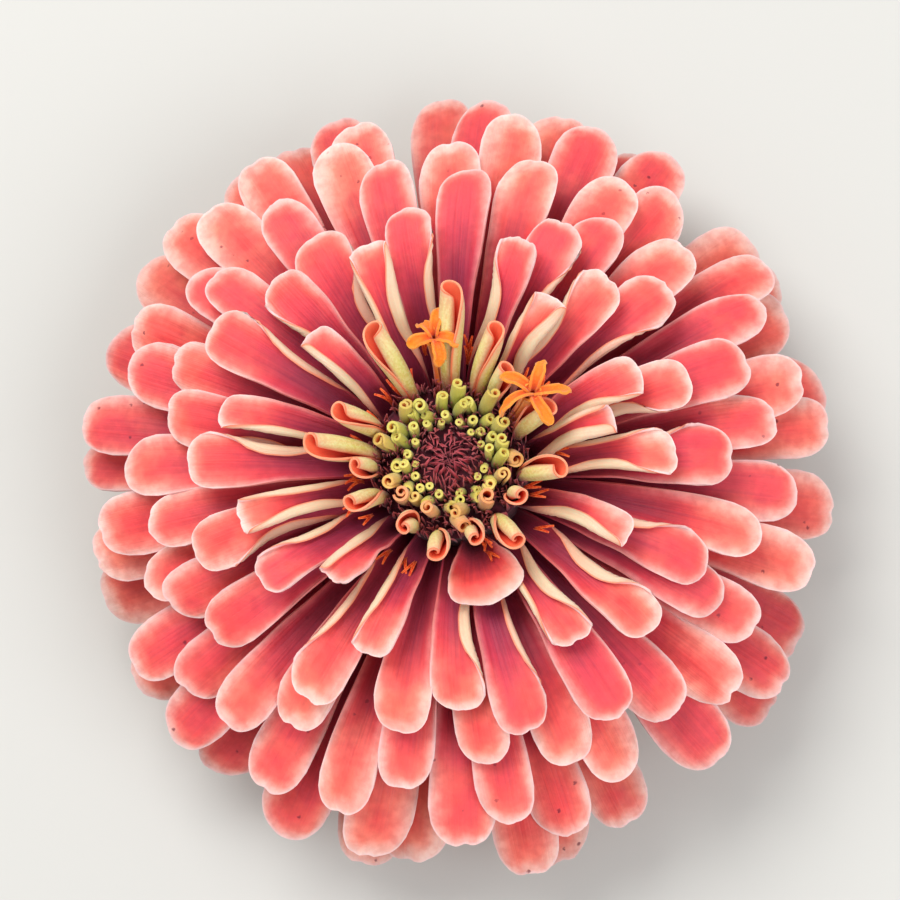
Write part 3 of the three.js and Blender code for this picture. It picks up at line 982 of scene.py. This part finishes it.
def chaffBract(blank, j):
    floret = chaff["drawsFrom"] + j
    t = math.sqrt((j + 0.6) / chaff["count"])
    radius = chaff["reach"] * t
    azimuth = spiral["step"] * j + 20 + wobble(floret, 1, 12)
    surface = discHeight(radius)
    inward = float(np.clip(1 - radius / 5.4, 0, 1))
    length = mix(chaff["length"], draw(floret, 2)) + 1.2 * t
    lean = 2.7 * inward * (0.75 + 0.4 * draw(floret, 3)) + wobble(floret, 16, 0.5)
    top = surface + length * (0.8 - 0.38 * inward)
    rib = curveThrough(
        place(azimuth, radius, surface - 0.8),
        place(azimuth, radius + 0.3 * inward, surface + length * 0.5, wobble(floret, 4, 0.4)),
        place(azimuth, max(0.1, radius - lean), top, wobble(floret, 5, 0.7)),
    )
    wide = mix(chaff["width"], draw(floret, 6))
    return bentCopy(
        blank, f"chaff{j}", rib, azimuth, along(chaff["taper"], wide), *alike(evenly(50)),
        roll=wobble(floret, 8, 60), twist=wobble(floret, 12, 60), age=t, tone=draw(floret, 14),
    )


chaffBlank = floretBlank("chaffBlank", 2, 5, 0.0)
bracts = [chaffBract(chaffBlank, j) for j in range(chaff["count"])]
discChaff = joined(bracts, "discChaff", chaff["thickness"], [chaffMaterial()])
settle(discChaff, "chaff", "chaff")
print("zinnia: chaff")

# the receptacle that carries them, turned from its profile

receptacle = {
    "profile": [
        (0, 6.4), (9.6, 6.4), (10.9, 8.2), (10.9, 14.4), (10.2, 27), (9.9, 30.2), (10.2, 31.4),
        (9.4, 32.3), (6.5, 33.4), (3.5, 34.0), (1.6, 33.9), (0, 33.6),
    ],
    "steps": 48,
}


def turnedPiece(name, profile, steps):
    deselectAll()
    bpy.ops.mesh.primitive_plane_add(size=1, location=(0, 0, 0))
    piece = bpy.context.object
    piece.name = name
    bpy.ops.object.mode_set(mode="EDIT")
    bpy.ops.mesh.select_mode(type="VERT")
    bpy.ops.mesh.select_all(action="SELECT")
    bpy.ops.mesh.merge(type="CENTER")
    bpy.ops.transform.translate(value=(profile[0][0] * mm, 0, profile[0][1] * mm))
    for (r0, z0), (r1, z1) in zip(profile, profile[1:]):
        bpy.ops.mesh.extrude_region_move(TRANSFORM_OT_translate={"value": ((r1 - r0) * mm, 0, (z1 - z0) * mm)})
    bpy.ops.mesh.select_all(action="SELECT")
    bpy.ops.mesh.spin(steps=steps, angle=2 * math.pi, center=(0, 0, 0), axis=(0, 0, 1))
    bpy.ops.mesh.select_all(action="SELECT")
    bpy.ops.mesh.remove_doubles(threshold=1e-6)
    bpy.ops.mesh.normals_make_consistent(inside=False)
    bpy.ops.object.mode_set(mode="OBJECT")
    bpy.ops.object.shade_smooth()
    return piece


core = turnedPiece("receptacle", receptacle["profile"], receptacle["steps"])
core.data.materials.append(plainMaterial("receptacleSkin", "3c0c1c", "661a30", 0.7, 1500.0))
settle(core, "chaff", "ray_florets")
print("zinnia: receptacle")

# open disc florets, two orange stars

stars = {
    "places": [
        {"index": 13, "azimuth": 34, "radius": 13.6, "height": 41.9, "lobeLength": 4.2},
        {"index": 3, "azimuth": 96, "radius": 15.4, "height": 40.2, "lobeLength": 3.5},
    ],
    "lobes": 5,
    "lobeWidth": 1.5,
    "lobeOutline": [(0, 0.6), (0.35, 0.85), (0.7, 1.0), (1, 0.72)],
    "lobeHollow": [(0, 70), (0.5, 62), (1, 30)],
    "tube": 0.6,
    "flare": [(0, 0.8), (0.7, 1.0), (0.9, 1.4), (1, 1.9)],
    "thickness": 0.35,
}


def starFloret(blank, index, azimuth, radius, height, lobeLength):
    throat = place(azimuth, radius, height)
    stalk = curveThrough(
        place(azimuth, trumpets["rootRadius"], trumpets["rootHeight"]),
        place(azimuth, radius - 1, height - 4),
        throat,
    )
    made = [bentCopy(
        blank, f"starTube{index}", stalk, azimuth, along(stars["flare"], math.pi * stars["tube"]),
        *alike(evenly(178)), sink=along(stars["flare"], stars["tube"]), age=0.3, tone=0.4,
    )]
    for n in range(stars["lobes"]):
        turn = n / stars["lobes"] * 360 + azimuth + 36 + wobble(3000 + n, index, 20)
        reach = lobeLength * (1 + wobble(3100 + n, index, 0.24))
        lift = 1.7 + wobble(3400 + n, index, 0.7)
        rib = curveThrough(
            throat + place(turn, reach * 0.05, -1.0),
            throat + place(turn, reach * 0.45, lift, wobble(3500 + n, index, 0.8)),
            throat + place(turn, reach, -0.1 - 2.2 * draw(3200 + n, index), wobble(3700 + n, index, 1.2)),
        )
        made.append(bentCopy(
            blank, f"starLobe{index}{n}", rib, turn,
            along(stars["lobeOutline"], stars["lobeWidth"] / 2), *alike(along(stars["lobeHollow"])),
            roll=wobble(3600 + n, index, 35), twist=wobble(3800 + n, index, 40),
            wave=0.2, phase=draw(3900 + n, index) * 6.28, tone=draw(3300 + n, index),
        ))
    return made


starBlank = floretBlank("starBlank", 10, 10, 0.14, power=2.2)
lobes = [piece for spot in stars["places"] for piece in starFloret(starBlank, **spot)]
openDisc = joined(lobes, "openDiscFlorets", stars["thickness"], [starMaterial()])
settle(openDisc, "disc_stars", "inner_florets")
print("zinnia: disc stars")

# involucre: the cut stalk, a shallow cup and rows of bracts

cup = {
    "profile": [
        (0, 0), (4.7, 0), (5.0, 0.5), (5.1, 2.6), (7.0, 3.4), (9.6, 4.2), (12.4, 6.4), (13.6, 9.4),
        (13.8, 12.2), (13.0, 12.6), (11.7, 12.2), (11.6, 7.4), (10, 6.0), (0, 6.0),
    ],
    "steps": 48,
    "rows": [
        {"count": 8, "from": (5.6, 3.0), "over": (9.6, 4.0), "tip": (11.8, 6.6), "width": 7.0},
        {"count": 10, "from": (9.2, 4.2), "over": (12.6, 6.6), "tip": (14.1, 9.6), "width": 7.6},
        {"count": 13, "from": (12, 6), "over": (14.2, 9.4), "tip": (14.9, 12.9), "width": 7.0},
    ],
    "drawsFrom": 4000,
    "outline": [(0, 0.72), (0.5, 1.0), (0.85, 0.96), (1, 0.74)],
    "thickness": 0.45,
}


def bract(blank, row, rowIndex, n):
    floret = cup["drawsFrom"] + 100 * rowIndex + n
    azimuth = (n + row["count"] * 0.37) / row["count"] * 360 + wobble(floret, 1, 3)
    rib = curveThrough(place(azimuth, *row["from"]), place(azimuth, *row["over"]), place(azimuth, *row["tip"]))
    return bentCopy(
        blank, f"bract{rowIndex}{n}", rib, azimuth, along(cup["outline"], row["width"] / 2), *alike(evenly(24)),
        sink=evenly(1.25 - 0.35 * rowIndex), wave=0.12, phase=draw(floret, 11) * 6.28, tone=draw(floret, 14),
    )


bractBlank = floretBlank("bractBlank", 14, 14, 0.35, pleats=0.05, power=2.3)
leaves = [bract(bractBlank, row, r, n) for r, row in enumerate(cup["rows"]) for n in range(row["count"])]
# the outer side of a bract is its front
for leaf in leaves:
    leaf.data.flip_normals()
bracts = joined(leaves, "involucreBracts", cup["thickness"], [bractMaterial()])
settle(bracts, "green_bracts", "involucre")
base = turnedPiece("involucreCup", cup["profile"], cup["steps"])
base.data.materials.append(plainMaterial("cupSkin", "566c2c", "6d8038", 0.6, 2400.0))
settle(base, "green_bracts", "involucre")
print("zinnia: involucre")

# styles, the forked orange threads at the feet of the petals

styles = {
    "count": 64,
    "drawsFrom": 5000,
    "radius": 0.09,
    "length": (1.3, 2.4),
    "spread": (11.0, 16.0),
    "fork": 0.55,
    "taper": [(0, 2.4), (0.8, 2.2), (1, 1.0)],
    "thickness": 0.09,
}


def styleThread(blank, j):
    # two threads in a row are the arms of one fork
    floret = styles["drawsFrom"] + j // 2
    azimuth = spiral["step"] * (j // 2) + 60 + wobble(floret, 1, 20)
    radius = mix(styles["spread"], draw(floret, 2))
    height = 34.4 - (radius - styles["spread"][0]) * 0.2 + wobble(floret, 3, 1.2)
    length = mix(styles["length"], draw(floret, 4))
    fork = styles["fork"] if j % 2 else -styles["fork"]
    rib = curveThrough(
        place(azimuth, radius - 1, height - 2.2),
        place(azimuth, radius - 0.3, height + 0.2, fork * 0.1 + wobble(floret, 6, 0.5)),
        place(azimuth, radius + length * 0.6, height + length * 0.3, fork + wobble(floret, 5, 1.2)),
    )
    return bentCopy(
        blank, f"style{j}", rib, azimuth, along(styles["taper"], styles["radius"]), *alike(evenly(120)),
        tone=draw(floret, 14),
    )


styleBlank = floretBlank("styleBlank", 4, 8, 0.0)
threads = [styleThread(styleBlank, j) for j in range(styles["count"])]
styleSkin = plainMaterial("styleSkin", "e0401c", "ff7c3c", 0.5, 3000.0, 0.2)
styleThreads = joined(threads, "styleThreads", styles["thickness"], [styleSkin])
settle(styleThreads, "disc_stars", "inner_florets")
print("zinnia: styles")

# floor, light and camera

studio = {
    "floor": (0.62, 0.62, 0.6, 1),
    "floorRoughness": 0.9,
    "sky": (1, 0.985, 0.965, 1),
    "skyStrength": 0.57,
    "lightsAim": (0, 0, 0.03),
    "lights": [
        {"name": "keyLight", "at": (-0.24, 0.34, 0.66), "size": 0.55, "power": 4.6, "colour": (1, 0.98, 0.95)},
        {"name": "fillLight", "at": (0.4, -0.3, 0.6), "size": 0.6, "power": 2.5, "colour": (0.96, 0.98, 1)},
    ],
}
# the camera stands back along the view by its distance, tilted in degrees towards the front and the right
shot = {
    "target": (0, 0, 38),
    "distance": 450,
    "tiltFront": 9.0,
    "tiltRight": 3.5,
    "lens": 138.5,
    "sensor": 36,
    "aimRight": 0.4,
    "aimUp": 0.6,
}

deselectAll()
bpy.ops.mesh.primitive_plane_add(size=3, location=(0, 0, -0.0002))
floor = bpy.context.object
floor.name = "floor"
floorMaterial = bpy.data.materials.new("floorPaper")
floorMaterial.use_nodes = True
paper = floorMaterial.node_tree.nodes["Principled BSDF"]
paper.inputs["Base Color"].default_value = studio["floor"]
paper.inputs["Roughness"].default_value = studio["floorRoughness"]
floor.data.materials.append(floorMaterial)

outwards = Vector((math.sin(math.radians(shot["tiltRight"])), -math.sin(math.radians(shot["tiltFront"])), 0))
outwards.z = math.sqrt(1 - outwards.x**2 - outwards.y**2)
rightwards = Vector((0, 1, 0)).cross(outwards).normalized()
upwards = outwards.cross(rightwards)
aim = (Vector(shot["target"]) + rightwards * shot["aimRight"] + upwards * shot["aimUp"]) * mm
cameraData = bpy.data.cameras.new("photoCamera")
cameraData.lens = shot["lens"]
cameraData.sensor_width = shot["sensor"]
camera = added("photoCamera", cameraData)
turn = Matrix((rightwards, upwards, outwards)).transposed()
camera.matrix_world = Matrix.Translation(aim + outwards * shot["distance"] * mm) @ turn.to_4x4()
bpy.context.scene.camera = camera

for light in studio["lights"]:
    data = bpy.data.lights.new(light["name"], "AREA")
    data.shape = "DISK"
    data.size, data.energy, data.color = light["size"], light["power"], light["colour"]
    lamp = added(light["name"], data)
    lamp.location = light["at"]
    lamp.rotation_mode = "QUATERNION"
    lamp.rotation_quaternion = (Vector(light["at"]) - Vector(studio["lightsAim"])).to_track_quat("Z", "Y")
world = bpy.data.worlds.new("studio")
bpy.context.scene.world = world
world.use_nodes = True
sky = world.node_tree.nodes["Background"]
sky.inputs["Color"].default_value = studio["sky"]
sky.inputs["Strength"].default_value = studio["skyStrength"]
bpy.context.scene.view_settings.view_transform = "Standard"
print("zinnia: floor, light and camera")
